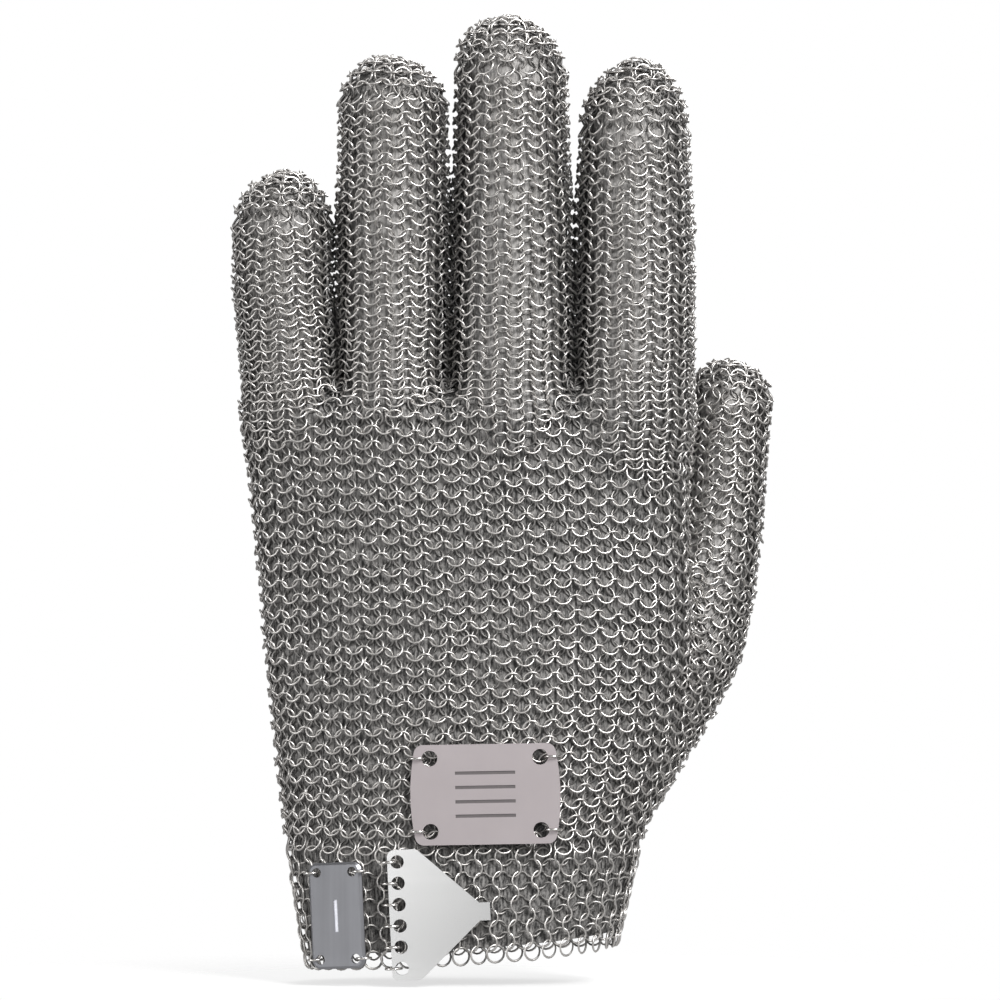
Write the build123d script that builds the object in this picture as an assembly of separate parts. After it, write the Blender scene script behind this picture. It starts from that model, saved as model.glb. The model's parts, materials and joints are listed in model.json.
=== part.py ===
from build123d import *
import math
import os

# Cut resistant glove of steel ring mesh, in the filled shape it has on a hand.
# Millimetres. The origin is the centre of the wrist opening, +Z runs up the
# fingers, +X points to the thumb side and -Y is the back of the hand.

# Ring mesh
mesh_thickness = 1.8
wire_radius = 0.26
ring_radius = 1.72
bend_gap = 0.6
face_gap = 0.4

# Cuff
cuff_height = 27.0
hem_half_width = 35.4
wrist_half_width = 38.4
wrist_half_depth = 21.5
hem_height_middle = 4.6
hem_slope = 4.6
slit_width = 2.5
slit_from_hinge = 9.5

# Palm
palm_height = 99.0
palm_left = 47.9
palm_right = 50.5
knuckle_half_depth = 12.8
oval_power = 2.5
right_swell = 0.5

# Fingers: where each stands across the palm, how high its tip is, how thick it is
# at its foot and below its rounded end, and how tall that rounded end is
finger_names = ("little", "ring", "middle", "index")
finger_across = {"little": -37.8, "ring": -13.7, "middle": 12.1, "index": 38.9}
finger_tip = {"little": 174.6, "ring": 199.6, "middle": 208.7, "index": 198.9}
finger_radius = {"little": 11.5, "ring": 12.3, "middle": 13.2, "index": 13.2}
finger_end_radius = {"little": 10.6, "ring": 11.8, "middle": 12.1, "index": 12.2}
finger_dome = {"little": 10.0, "ring": 10.0, "middle": 11.0, "index": 13.0}
finger_depth_in_palm = 6.0

# Finger joints
knuckle_above_palm = 10.5
middle_joint_share = 0.46
knuckle_bend = 70.0
middle_bend = 75.0

# Thumb: height, distance across, distance to the palm side and radius of its sections
thumb_sections = (
    (33.0, 26.5, 3.0, 16.0),
    (45.0, 33.3, 5.0, 15.8),
    (56.0, 41.6, 8.0, 14.6),
    (66.0, 48.4, 11.5, 13.4),
    (79.0, 52.8, 15.5, 11.9),
    (92.0, 55.6, 18.0, 11.0),
    (108.0, 57.7, 19.3, 10.2),
    (124.0, 59.4, 20.0, 9.8),
)
thumb_dome = 10.0
thumb_base_joint = 91.0
thumb_end_joint = 112.0
thumb_base_bend = 40.0
thumb_end_bend = 60.0
thumb_swing = 45.0

# Hook clasp
clasp_height = 28.2
clasp_reach = 21.4
clasp_top_width = 6.0
clasp_thickness = 1.0
clasp_corner = 1.6
clasp_hole_radius = 1.45
clasp_hole_pitch = 4.6
clasp_hole_count = 6
clasp_web = 0.7
clasp_hinge_across = -13.9
clasp_middle_height = 13.1
clasp_hinge_off_cuff = 1.5
clasp_lean = 2.7
clasp_turn = 1.7
hook_width = 3.9
hook_length = 2.3
hook_depth = 2.1
hook_clearance = 0.6

# Identity plate
plate_width = 32.4
plate_height = 21.7
plate_thickness = 0.8
plate_bow = 1.2
plate_corner = 2.0
plate_hole_radius = 1.7
plate_hole_from_side = 4.25
plate_hole_from_top = 2.95
plate_centre_across = 6.4
plate_centre_height = 39.2
plate_lean = 1.0
plate_groove_length = 13.0
plate_groove_width = 0.7
plate_groove_depth = 0.15
plate_groove_pitch = 3.1
plate_groove_count = 4

# Size tag
tag_width = 12.6
tag_height = 23.0
tag_thickness = 0.8
tag_corner = 2.0
tag_hole_radius = 1.05
tag_hole_inset = 2.1
tag_ring_radius = 1.55
tag_centre_across = -25.2
tag_centre_height = 12.9
tag_lean = 3.0
tag_edge_fold = 0.55
tag_groove_length = 7.0
tag_groove_width = 0.8
tag_groove_depth = 0.2

palm_top = cuff_height + palm_height
knuckle_height = palm_top + knuckle_above_palm
clasp_hole_centre = clasp_web / 2 + clasp_hole_radius
plate_hole_across = plate_width - 2 * plate_hole_from_side
plate_hole_up = plate_height - 2 * plate_hole_from_top


def oval_point(left, right, half_depth, angle):
    """A point on a rounded oval that may reach further to one side."""
    power = 2 / oval_power
    cosine = math.cos(angle)
    sine = math.sin(angle)
    reach = (right - left) / 2
    across = math.copysign(abs(cosine) ** power, cosine) * reach + (left + right) / 2
    deep = math.copysign(abs(sine) ** power, sine) * half_depth
    return across, deep


def oval_depth(left, right, half_depth, across):
    """How far the oval stands from its middle line at one place across."""
    reach = (right - left) / 2
    share = abs(across - (left + right) / 2) / reach
    return half_depth * (1 - share ** oval_power) ** (1 / oval_power)


def oval_section(left, right, half_depth, height, count=20):
    """A flat oval face at one height."""
    points = []
    for index in range(count):
        across, deep = oval_point(left, right, half_depth, 2 * math.pi * index / count)
        points.append((across, deep))
    return Pos(0, 0, height) * make_face(Spline(points, periodic=True))


def palm_outline(height):
    """Left edge, right edge and half depth of the palm at one height."""
    share = (height - cuff_height) / palm_height
    rise = math.sin(math.radians(90) * min(1, share / right_swell))
    left = -wrist_half_width - (palm_left - wrist_half_width) * share
    right = wrist_half_width + (palm_right - wrist_half_width) * rise
    half_depth = wrist_half_depth + (knuckle_half_depth - wrist_half_depth) * share
    return left, right, half_depth


def cuff_outline(height):
    """Left edge, right edge and half depth of the cuff at one height."""
    share = height / cuff_height
    half_width = hem_half_width + (wrist_half_width - hem_half_width) * share
    return -half_width, half_width, wrist_half_depth


def palm_solid(inset):
    """The palm as a full solid, inset by the thickness of the mesh for its hollow."""
    sections = []
    for share in (0, 0.17, 0.34, 0.5, 0.75, 1):
        height = cuff_height + palm_height * share
        left, right, half_depth = palm_outline(height)
        height -= inset * share
        sections.append(oval_section(left + inset, right - inset, half_depth - inset, height))
    return loft(sections)


def cuff_solid(inset):
    """The cuff as a full solid from below the hem to the wrist."""
    sections = []
    for height in (0, cuff_height):
        left, right, half_depth = cuff_outline(height)
        sections.append(oval_section(left + inset, right - inset, half_depth - inset, height))
    return loft(sections)


def dome_solid(radius, height):
    """A rounded end that stands on its flat face."""
    flat = Polyline((0, height), (0, 0), (radius, 0))
    arc = Spline((radius, 0), (radius * math.sin(math.pi / 4), height * math.sin(math.pi / 4)), (0, height),
                 tangents=((0, 1), (-1, 0)))
    return revolve(Plane.XZ * make_face(flat + arc), Axis.Z)


def finger_solid(name, inset):
    """One finger as a full solid with a rounded end."""
    base = palm_top - finger_depth_in_palm
    shoulder = finger_tip[name] - finger_dome[name]
    radius = finger_radius[name] - inset
    end_radius = finger_end_radius[name] - inset
    length = shoulder - base
    tube = Pos(0, 0, base + length / 2) * Cone(radius, end_radius, length)
    tube += Pos(0, 0, shoulder) * dome_solid(end_radius, finger_dome[name] - inset)
    return Pos(finger_across[name], 0, 0) * tube


def thumb_solid(inset):
    """The thumb as a full solid with a rounded end."""
    sections = []
    for height, across, deep, radius in thumb_sections:
        sections.append(Pos(across, deep, height) * Circle(radius - inset))
    height, across, deep, radius = thumb_sections[-1]
    body = loft(sections, ruled=True)
    return body + Pos(across, deep, height) * dome_solid(radius - inset, thumb_dome - inset)


def thumb_centre(height):
    """Where the middle of the thumb is at one height."""
    for low, high in zip(thumb_sections, thumb_sections[1:]):
        if height <= high[0]:
            share = (height - low[0]) / (high[0] - low[0])
            across = low[1] + (high[1] - low[1]) * share
            deep = low[2] + (high[2] - low[2]) * share
            return across, deep, height
    return thumb_sections[-1][1], thumb_sections[-1][2], height


def bend_halves(centre, towards, bend):
    """The room below and above a bend line, cut away where the two sides would meet."""
    reach = 30.0
    length = 400.0
    drop = bend_gap / 2 + reach * math.tan(math.radians(bend) / 2)
    halves = []
    for side in (-1, 1):
        corners = [
            (-reach, side * bend_gap / 2),
            (0, side * bend_gap / 2),
            (reach, side * drop),
            (reach, side * length),
            (-reach, side * length),
        ]
        axis = Vector(*towards).cross(Vector(0, 0, 1))
        plane = Plane(origin=centre, x_dir=towards, z_dir=axis)
        halves.append(extrude(plane * make_face(Polyline(corners, close=True)), reach, both=True))
    return halves


def finger_bends(name):
    """The rooms at the knuckle and at the middle joint of one finger."""
    across = finger_across[name]
    joint = knuckle_height + (finger_tip[name] - knuckle_height) * middle_joint_share
    knuckle = bend_halves((across, 0, knuckle_height), (0, 1, 0), knuckle_bend)
    middle = bend_halves((across, 0, joint), (0, 1, 0), middle_bend)
    return knuckle, middle


def thumb_bends():
    """The rooms at the thumb's base joint and end joint."""
    swing = math.radians(thumb_swing)
    towards = (-math.sin(swing), math.cos(swing), 0)
    base = bend_halves(thumb_centre(thumb_base_joint), towards, thumb_base_bend)
    end = bend_halves(thumb_centre(thumb_end_joint), towards, thumb_end_bend)
    return base, end


def finger_shell(name):
    """The hollow mesh tube of one finger."""
    return finger_solid(name, 0) - finger_solid(name, mesh_thickness)


def make_palm():
    """The back and the palm side of the hand, with the four short finger roots."""
    outer = palm_solid(0)
    hollow = palm_solid(mesh_thickness) + thumb_solid(mesh_thickness)
    for name in finger_names:
        outer += finger_solid(name, 0) & finger_bends(name)[0][0]
        hollow += finger_solid(name, mesh_thickness)
    shell = outer - hollow
    half = Box(400, 200, 400)
    back = shell & Pos(0, -100, 0) * half
    front = shell & Pos(0, 100, 0) * half
    return back, front


def make_thumb_base():
    """The mesh between the palm and the thumb's base joint."""
    shell = thumb_solid(0) - thumb_solid(mesh_thickness)
    return (shell & thumb_bends()[0][0]) - palm_solid(0)


def make_thumb_lengths():
    """The two lengths of the thumb that bend."""
    shell = thumb_solid(0) - thumb_solid(mesh_thickness)
    base, end = thumb_bends()
    return shell & base[1] & end[0], shell & end[1]


def make_finger_lengths(name):
    """The two lengths of one finger that bend."""
    shell = finger_shell(name)
    knuckle, middle = finger_bends(name)
    return shell & knuckle[1] & middle[0], shell & middle[1]


def make_cuff():
    """The short cuff, open in front where the slit runs up to the wrist."""
    band = cuff_solid(0) - cuff_solid(mesh_thickness)
    slit_across = clasp_hinge_across + slit_from_hinge
    slit = Pos(slit_across, -wrist_half_depth, 0) * Box(slit_width, wrist_half_depth, 200)
    keep_above = Pos(0, 0, hem_height_middle) * Rot(0, -hem_slope, 0) * Pos(0, 0, 100) * Box(300, 200, 200)
    hook_room = clasp_place() * Pos(clasp_reach - clasp_thickness / 2, hook_depth / 2, 0)
    hook_slot = Box(
        clasp_thickness + 2 * hook_clearance,
        hook_depth + 4 * hook_clearance + clasp_thickness,
        hook_width + 2 * hook_clearance,
    )
    return (band - slit - hook_room * hook_slot) & keep_above


def clasp_place():
    """The clasp's hinge line: its local Z runs along the hinge, its X across the slit."""
    left, right, half_depth = cuff_outline(clasp_middle_height)
    deep = -oval_depth(left, right, half_depth, clasp_hinge_across) - clasp_hinge_off_cuff
    turn = Rot(0, 0, -clasp_turn) * Rot(0, -clasp_lean, 0)
    return Pos(clasp_hinge_across, deep, clasp_middle_height) * turn


def clasp_hole_heights():
    """The heights of the clasp's holes along its hinge line."""
    middle = (clasp_hole_count - 1) / 2
    return [(index - middle) * clasp_hole_pitch for index in range(clasp_hole_count)]


def make_clasp_plate():
    """The hook plate with its row of ring holes."""
    edge = -clasp_web / 2
    shoulder = clasp_reach - hook_length
    half_height = clasp_height / 2
    half_hook = hook_width / 2
    corners = [
        (edge, half_height),
        (clasp_top_width, half_height),
        (shoulder, half_hook),
        (clasp_reach, half_hook),
        (clasp_reach, -half_hook),
        (shoulder, -half_hook),
        (clasp_top_width, -half_height),
        (edge, -half_height),
    ]
    face = make_face(Polyline(corners, close=True))
    outer_corners = face.vertices().filter_by(lambda corner: abs(corner.Y) > half_hook + 1)
    face = fillet(outer_corners, clasp_corner)
    for height in clasp_hole_heights():
        face -= Pos(clasp_hole_centre, height) * Circle(clasp_hole_radius)
    plate = extrude(Plane.XZ * face, clasp_thickness / 2, both=True)
    hook = Pos(clasp_reach - clasp_thickness / 2, hook_depth / 2, 0)
    plate += hook * Box(clasp_thickness, hook_depth + clasp_thickness, hook_width)
    return clasp_place() * plate


def make_ring_about_z(radius=ring_radius):
    """One wire ring whose hole looks along Z."""
    return Torus(radius, wire_radius)


def make_clasp_rings():
    """The rings on which the clasp turns."""
    return [clasp_place() * Pos(0, 0, height) * make_ring_about_z() for height in clasp_hole_heights()]


def plate_place():
    """The identity plate's middle, leaning with the back of the hand."""
    half_depth = palm_outline(plate_centre_height)[2]
    pitch = math.degrees(math.atan((wrist_half_depth - knuckle_half_depth) / palm_height))
    deep = -half_depth - face_gap - plate_thickness / 2
    return Pos(plate_centre_across, deep, plate_centre_height) * Rot(-pitch, 0, 0) * Rot(0, -plate_lean, 0)


def make_id_plate():
    """The flat plate with bowed sides, four ring holes and plain engraved lines."""
    side = plate_width / 2 - plate_bow
    top = plate_height / 2
    outline = Line((-side, top), (side, top))
    outline += ThreePointArc((side, top), (plate_width / 2, 0), (side, -top))
    outline += Line((side, -top), (-side, -top))
    outline += ThreePointArc((-side, -top), (-plate_width / 2, 0), (-side, top))
    face = make_face(outline)
    face = fillet(face.vertices(), plate_corner)
    holes = GridLocations(plate_hole_across, plate_hole_up, 2, 2)
    face -= [place * Circle(plate_hole_radius) for place in holes]
    plate = extrude(Plane.XZ * face, plate_thickness / 2, both=True)
    groove = Box(plate_groove_length, plate_groove_depth * 2, plate_groove_width)
    middle = (plate_groove_count - 1) / 2
    for index in range(plate_groove_count):
        plate -= Pos(0, -plate_thickness / 2, (index - middle) * plate_groove_pitch) * groove
    return plate_place() * plate


def make_id_plate_rings():
    """The four rings that go round the plate's ends and through its holes."""
    rings = []
    side_at_hole = plate_width / 2 - plate_bow * (plate_hole_up / plate_height) ** 2
    strip_middle = (plate_hole_across / 2 + plate_hole_radius + side_at_hole) / 2
    for side in (-1, 1):
        for level in (-1, 1):
            place = Pos(side * strip_middle, face_gap, level * plate_hole_up / 2)
            rings.append(plate_place() * place * make_ring_about_z())
    return rings


def tag_place():
    """The size tag's middle, flat against the turning side of the cuff."""
    left, right, half_depth = cuff_outline(tag_centre_height)
    deep = oval_depth(left, right, half_depth, tag_centre_across)
    ahead = oval_depth(left, right, half_depth, tag_centre_across + 1)
    behind = oval_depth(left, right, half_depth, tag_centre_across - 1)
    turn = math.degrees(math.atan2(ahead - behind, 2))
    off = face_gap + 0.5 + tag_thickness / 2
    place = Pos(tag_centre_across, -deep, tag_centre_height) * Rot(0, 0, -turn) * Pos(0, -off, 0)
    return place * Rot(0, -tag_lean, 0)


def make_size_tag():
    """The small upright tag with four ring holes and one plain stamped bar."""
    face = RectangleRounded(tag_width, tag_height, tag_corner)
    holes = GridLocations(tag_width - 2 * tag_hole_inset, tag_height - 2 * tag_hole_inset, 2, 2)
    face -= [place * Circle(tag_hole_radius) for place in holes]
    tag = extrude(Plane.XZ * face, tag_thickness / 2, both=True)
    long_edges = tag.edges().filter_by(Axis.Z).group_by(Axis.X)[-1]
    front_edge = long_edges.sort_by(Axis.Y)[0]
    tag = chamfer(front_edge, tag_edge_fold)
    tag -= Pos(0, -tag_thickness / 2, 0) * Box(tag_groove_width, tag_groove_depth * 2, tag_groove_length)
    return tag_place() * tag


def make_size_tag_rings():
    """The four rings that go round the tag's long sides and through its holes."""
    rings = []
    strip_middle = tag_width / 2 - (tag_hole_inset - tag_hole_radius) / 2
    for side in (-1, 1):
        for level in (-1, 1):
            place = Pos(side * strip_middle, face_gap, level * (tag_height / 2 - tag_hole_inset))
            rings.append(tag_place() * place * make_ring_about_z(tag_ring_radius))
    return rings


def save(name, shape):
    """Write one node, a solid or a group of like solids."""
    if isinstance(shape, list):
        shape = Compound(children=shape)
    export_step(shape, f"parts/{name}.step")


os.makedirs("parts", exist_ok=True)

palm_back, palm_front = make_palm()
save("palm_back_mesh", palm_back)
save("palm_front_mesh", palm_front)
save("thumb_base_mesh", make_thumb_base())
save("cuff_mesh", make_cuff())

for finger in finger_names:
    lower_length, upper_length = make_finger_lengths(finger)
    save(f"{finger}_lower_mesh", lower_length)
    save(f"{finger}_upper_mesh", upper_length)

thumb_lower, thumb_upper = make_thumb_lengths()
save("thumb_lower_mesh", thumb_lower)
save("thumb_upper_mesh", thumb_upper)

save("clasp_plate", make_clasp_plate())
save("clasp_rings", make_clasp_rings())
save("id_plate", make_id_plate())
save("id_plate_rings", make_id_plate_rings())
save("size_tag", make_size_tag())
save("size_tag_rings", make_size_tag_rings())
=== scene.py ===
"""Looks of the cut resistant glove: steel ring mesh, a hook clasp, an identity plate and a size tag."""

import json
import math

import bpy
import numpy as np
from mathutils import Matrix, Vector


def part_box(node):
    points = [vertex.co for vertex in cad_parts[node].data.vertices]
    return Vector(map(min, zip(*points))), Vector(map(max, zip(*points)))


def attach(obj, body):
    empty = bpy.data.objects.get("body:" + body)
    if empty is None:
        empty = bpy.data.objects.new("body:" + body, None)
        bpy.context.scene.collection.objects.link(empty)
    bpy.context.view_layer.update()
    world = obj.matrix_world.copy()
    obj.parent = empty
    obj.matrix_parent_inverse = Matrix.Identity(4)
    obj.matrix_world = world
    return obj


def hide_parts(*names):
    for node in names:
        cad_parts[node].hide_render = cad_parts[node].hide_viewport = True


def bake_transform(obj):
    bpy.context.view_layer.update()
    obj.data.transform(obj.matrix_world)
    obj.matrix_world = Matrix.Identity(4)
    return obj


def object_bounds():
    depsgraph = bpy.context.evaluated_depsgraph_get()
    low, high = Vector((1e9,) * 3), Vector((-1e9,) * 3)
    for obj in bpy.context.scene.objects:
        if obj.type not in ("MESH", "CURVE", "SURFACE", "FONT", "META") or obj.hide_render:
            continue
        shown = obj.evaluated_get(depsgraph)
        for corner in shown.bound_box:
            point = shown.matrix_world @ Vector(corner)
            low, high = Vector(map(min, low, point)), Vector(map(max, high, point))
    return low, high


bl_info = {
    "name": "Ring Mesh Glove",
    "version": (1, 0, 0),
    "blender": (4, 5, 0),
    "location": "View3D > Sidebar > Glove",
    "description": "Weaves a steel ring mesh glove round its frame, ring by ring",
    "category": "Object",
}

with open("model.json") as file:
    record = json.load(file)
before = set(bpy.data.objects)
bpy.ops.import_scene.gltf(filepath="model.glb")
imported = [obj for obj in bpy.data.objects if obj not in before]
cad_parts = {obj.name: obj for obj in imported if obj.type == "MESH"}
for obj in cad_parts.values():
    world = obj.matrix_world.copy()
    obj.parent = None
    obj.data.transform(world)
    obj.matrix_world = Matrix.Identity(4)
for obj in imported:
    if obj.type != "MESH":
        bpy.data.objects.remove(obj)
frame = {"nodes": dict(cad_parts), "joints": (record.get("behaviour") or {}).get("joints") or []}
cad_low, cad_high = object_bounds()
joint_places = {joint["name"]: joint["pos_m"] for joint in frame["joints"]}

MM = 0.001
TINY = 1e-6
FINGERS = ("little", "ring", "middle", "index")

# Sizes of the filled hand shape, in millimetres
MESH_THICKNESS = 1.8
CUFF_HEIGHT = 27.0
HEM_HALF_WIDTH = 33.6
WRIST_HALF_WIDTH = 38.8
WRIST_HALF_DEPTH = 21.5
PALM_HEIGHT = 99.0
PALM_LEFT = 46.2
PALM_BULGE = 1.5
PALM_RIGHT = 50.5
KNUCKLE_HALF_DEPTH = 12.8
OVAL_POWER = 2.5
RIGHT_SWELL = 0.5
PALM_SHIFT = 1.4
PALM_TOP = CUFF_HEIGHT + PALM_HEIGHT
FINGER_FOOT = PALM_TOP - 6.0
FINGER_ROOT = PALM_TOP - 34.0
FINGER_FOOT_RADIUS = {"little": 10.9, "ring": 12.5, "middle": 14.2, "index": 13.2}
FINGER_END_RADIUS = {"little": 10.9, "ring": 12.0, "middle": 12.3, "index": 12.2}
FINGER_SWELL = {"little": 0.2, "ring": 0.6, "middle": 0.6, "index": 0.6}
FINGER_DOME = {"little": 11.0, "ring": 9.4, "middle": 12.5, "index": 16.0}
FINGER_FOOT_SHIFT = {"little": 2.2, "ring": -0.3, "middle": -0.1, "index": -0.5}
FINGER_TIP_SHIFT = {"little": 0.0, "ring": -0.6, "middle": -2.0, "index": 0.2}
THUMB_SECTIONS = (
    (33.0, 26.5, 3.0, 16.0),
    (45.0, 33.3, 5.0, 15.8),
    (56.0, 41.6, 8.0, 14.6),
    (66.0, 48.4, 11.5, 13.4),
    (79.0, 52.8, 15.5, 11.9),
    (92.0, 55.6, 18.0, 11.0),
    (108.0, 57.7, 19.3, 10.2),
    (124.0, 59.4, 20.0, 9.8),
)
THUMB_DOME = 10.0
THUMB_SHIFT = 0.7
THUMB_ROOT = THUMB_SECTIONS[0][0]
THUMB_SHOULDER = THUMB_SECTIONS[-1][0]
THUMB_MIDDLE_DOME = THUMB_DOME - MESH_THICKNESS / 2
HEM_MIDDLE = 4.2
HEM_SLOPE = 0.045
HEM_RISE = 0.0012

# Heights between which a shift or a swell fades, and reaches of the others
PALM_SHIFT_TOP = (PALM_TOP - 10, PALM_TOP - 45)
PALM_SHIFT_BOTTOM = (-25.0, 25.0)
FOOT_SHIFT_REACH = 24.0
TIP_SHIFT_REACH = 13.0
FINGER_SWELL_FADE = (PALM_TOP + 52, PALM_TOP + 40)
FINGER_ROOT_TAPER = 0.2
FINGER_ROOT_REACH = 25.0

# Fillets between and at the ends of the hand's three parts
WEB_HEIGHT = PALM_TOP - 0.5
WEB_FILLET = 5.0
FINGER_ROOT_FILLET = 7.0
THUMB_ROOT_FILLET = 12.0
FINGER_FILLET = 5.0
THUMB_FILLET = 6.0
PALM_PART, FINGER_PART, THUMB_PART = range(3)

# Farthest that a point may move to reach the surface, or stay off it, how much nearer another
# part may be to a ring or to the inner face, and the least squared slope to divide by
FARTHEST_MOVE = 8.0
FARTHEST_OFF = 0.5
RING_MARGIN = 0.05
INNER_MARGIN = 2.0
LEAST_SLOPE = 0.05

# How the rows lie: the palm's first row and how far past its top the last one may be, rings in
# a palm row, where rows start as a share of the pitch, how much higher a row runs on the palm
# side than on the back, and the pitches of the other rows
PALM_WEAVE_FROM = CUFF_HEIGHT + 0.8
PALM_WEAVE_PAST = 2.5
PALM_COUNT = 46
ROW_START = 0.125
ROW_CLIMB = 0.8
ROW_SLOPE = 0.055
FINGER_ROW_PITCH = (1.08, 1.38)
THUMB_ROW_PITCH = 1.46
THUMB_RINGS = ((58.0, 19), (84.0, 16), (math.inf, 13))
FINGER_DOME_PITCH = 1.5
THUMB_DOME_PITCH = 1.6
DOME_CROWDING = 0.85
FINGER_WEAVE_FROM = PALM_TOP - 26.0
FINGER_PITCH_REACH = 45.0
FINGER_LEAN = math.radians(8)

# Unevenness: ring tilt as a share of its way out, its lean, its place, and the rows' slow waves,
# each as size, steps along the row and swing of those steps
TILT_NOISE = 0.055
LEAN_NOISE = math.radians(4)
PLACE_NOISE = 0.08
CUFF_PLACE_NOISE = 0.07
SIDE_WAVE = (0.3, 0.37, 1.5, 0.17)
UP_WAVE = (0.4, 0.31, 2.0, 0.13)

# Cuff: room below the wrist, slit's distance from the clasp's hinge edge, its half width,
# how far the inner face stops above the hem, and its rows
CUFF_TOP_ROOM = 1.2
SLIT_FROM_HINGE = 9.9
SLIT_HALF_WIDTH = 1.6
HEM_LOOP = 1.4
CUFF_INNER_ROWS = 8

# How far below the thumb's base joint its base piece ends
THUMB_REACH = 10 * MM

# The inner face, a dark sheet of painted shade inside the weave: how far inside the weave's middle layer it
# lies, between which heights, how it closes over the webs, and how finely it is divided
INNER_DEPTH = 0.7
PALM_INNER_REACH = (CUFF_HEIGHT - 0.6, PALM_TOP + 2)
FINGER_INNER_FROM = FINGER_WEAVE_FROM + 2
THUMB_INNER_FROM = THUMB_ROOT + 1
WEB_SHARES = (0.9, 0.75, 0.6, 0.45, 0.3, 0.15, 0.02)
OVAL_AROUND = 120
PALM_ROW_STEP = 1.7
TUBE_AROUND = 40
TUBE_ROW_STEP = 1.6
TUBE_DOME_ROWS = 9
TUBE_LAST_ANGLE = math.radians(86)

# Painted light and shade that the mesh carries: how much lighter digits are painted on their rounded back,
# from which height and over what reach, and how much darker the gaps between fingers are painted, where
# shade falls
DIGIT_LIFT = 0.46
FINGER_LIFT_FROM = PALM_TOP - 14
THUMB_LIFT_FROM = THUMB_SECTIONS[2][0]
DIGIT_LIFT_REACH = 20.0
CREVICE_SHADE = 0.6
CREVICE_START = 1.2
CREVICE_WIDTH = 5.0
CREVICE_RISE = (PALM_TOP - 17, PALM_TOP - 4)

# Grooves of the plates: how deep they are, and how closely their floors face the front
GROOVE_DEPTHS = (0.1 * MM, 0.3 * MM)
GROOVE_FACING = 0.99

# Stage: the floor's radius and its distance below the glove in metres, strength of the light
# from all round, and each soft light's name, place from the glove's middle, size and power
FLOOR_RADIUS = 0.12
FLOOR_DROP = 0.0015
ROOM_LIGHT = 0.3
LIGHTS = (
    ("key", (0.5, -0.8, 0.7), 0.45, 20.0),
    ("side", (-0.9, -0.35, 0.2), 0.5, 4.0),
    ("front", (-0.15, -1.95, 0.25), 0.9, 4.0),
    ("behind", (0.3, 0.9, 0.6), 0.6, 10.0),
)
VIEW_FIELD = 218.4
VIEW_SHIFT = (-0.4, -1.15)
LENS = 300
SENSOR = 36


class GloveSizes(bpy.types.PropertyGroup):
    """Sizes of the ring mesh"""

    wire: bpy.props.FloatProperty(
        name="Wire", description="Thickness of the rings' wire", default=0.5 * MM, unit="LENGTH"
    )
    ring: bpy.props.FloatProperty(
        name="Ring", description="Width of a body ring at the middle of its wire", default=3.8 * MM,
        unit="LENGTH",
    )
    cuff_ring: bpy.props.FloatProperty(
        name="Cuff ring", description="Width of a cuff ring at the middle of its wire", default=3.9 * MM,
        unit="LENGTH",
    )
    ring_pitch: bpy.props.FloatProperty(
        name="Ring pitch", description="Distance between rings along a row", default=4.7 * MM, unit="LENGTH"
    )
    row_pitch: bpy.props.FloatProperty(
        name="Row pitch", description="Distance between rows of the palm", default=1.74 * MM, unit="LENGTH"
    )
    cuff_pitch: bpy.props.FloatProperty(
        name="Cuff pitch", description="Distance between rings up a cuff column", default=5.2 * MM,
        unit="LENGTH",
    )
    cuff_column: bpy.props.FloatProperty(
        name="Cuff column", description="Distance between columns of the cuff", default=2.03 * MM,
        unit="LENGTH",
    )
    lean: bpy.props.FloatProperty(
        name="Lean", description="How far a ring leans out of the mesh", default=math.radians(22),
        subtype="ANGLE",
    )
    seed: bpy.props.IntProperty(name="Seed", description="Start of the rings' small unevenness", default=7)


class GloveColours(bpy.types.PropertyGroup):
    """Colours of the metals"""

    mesh: bpy.props.FloatVectorProperty(
        name="Ring mesh", description="Colour of the woven rings", default=(0.62, 0.60, 0.58, 1.0), size=4,
        subtype="COLOR",
    )
    plate: bpy.props.FloatVectorProperty(
        name="Identity plate", description="Colour of the satin plate", default=(0.36, 0.326, 0.332, 1.0),
        size=4, subtype="COLOR",
    )
    clasp: bpy.props.FloatVectorProperty(
        name="Clasp", description="Colour of the polished clasp", default=(0.58, 0.58, 0.578, 1.0), size=4,
        subtype="COLOR",
    )
    tag: bpy.props.FloatVectorProperty(
        name="Size tag", description="Colour of the brushed tag", default=(0.33, 0.333, 0.355, 1.0), size=4,
        subtype="COLOR",
    )
    floor: bpy.props.FloatVectorProperty(
        name="Floor", description="Colour of the floor and backdrop", default=(0.9, 0.9, 0.9, 1.0), size=4,
        subtype="COLOR",
    )


# ---------------------------------------------------------------- materials


class Wire:
    """A shader socket that can be used in Python arithmetic."""

    def __init__(self, nodes, socket):
        self.nodes = nodes
        self.socket = socket

    def _maths(self, operation, first, second):
        return self.nodes.add("ShaderNodeMath", {"operation": operation}, {0: first, 1: second})

    def __add__(self, other):
        return self._maths("ADD", self, other)

    __radd__ = __add__

    def __mul__(self, other):
        return self._maths("MULTIPLY", self, other)

    __rmul__ = __mul__

    def __sub__(self, other):
        return self._maths("SUBTRACT", self, other)

    def __rsub__(self, other):
        return self._maths("SUBTRACT", other, self)


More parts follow.
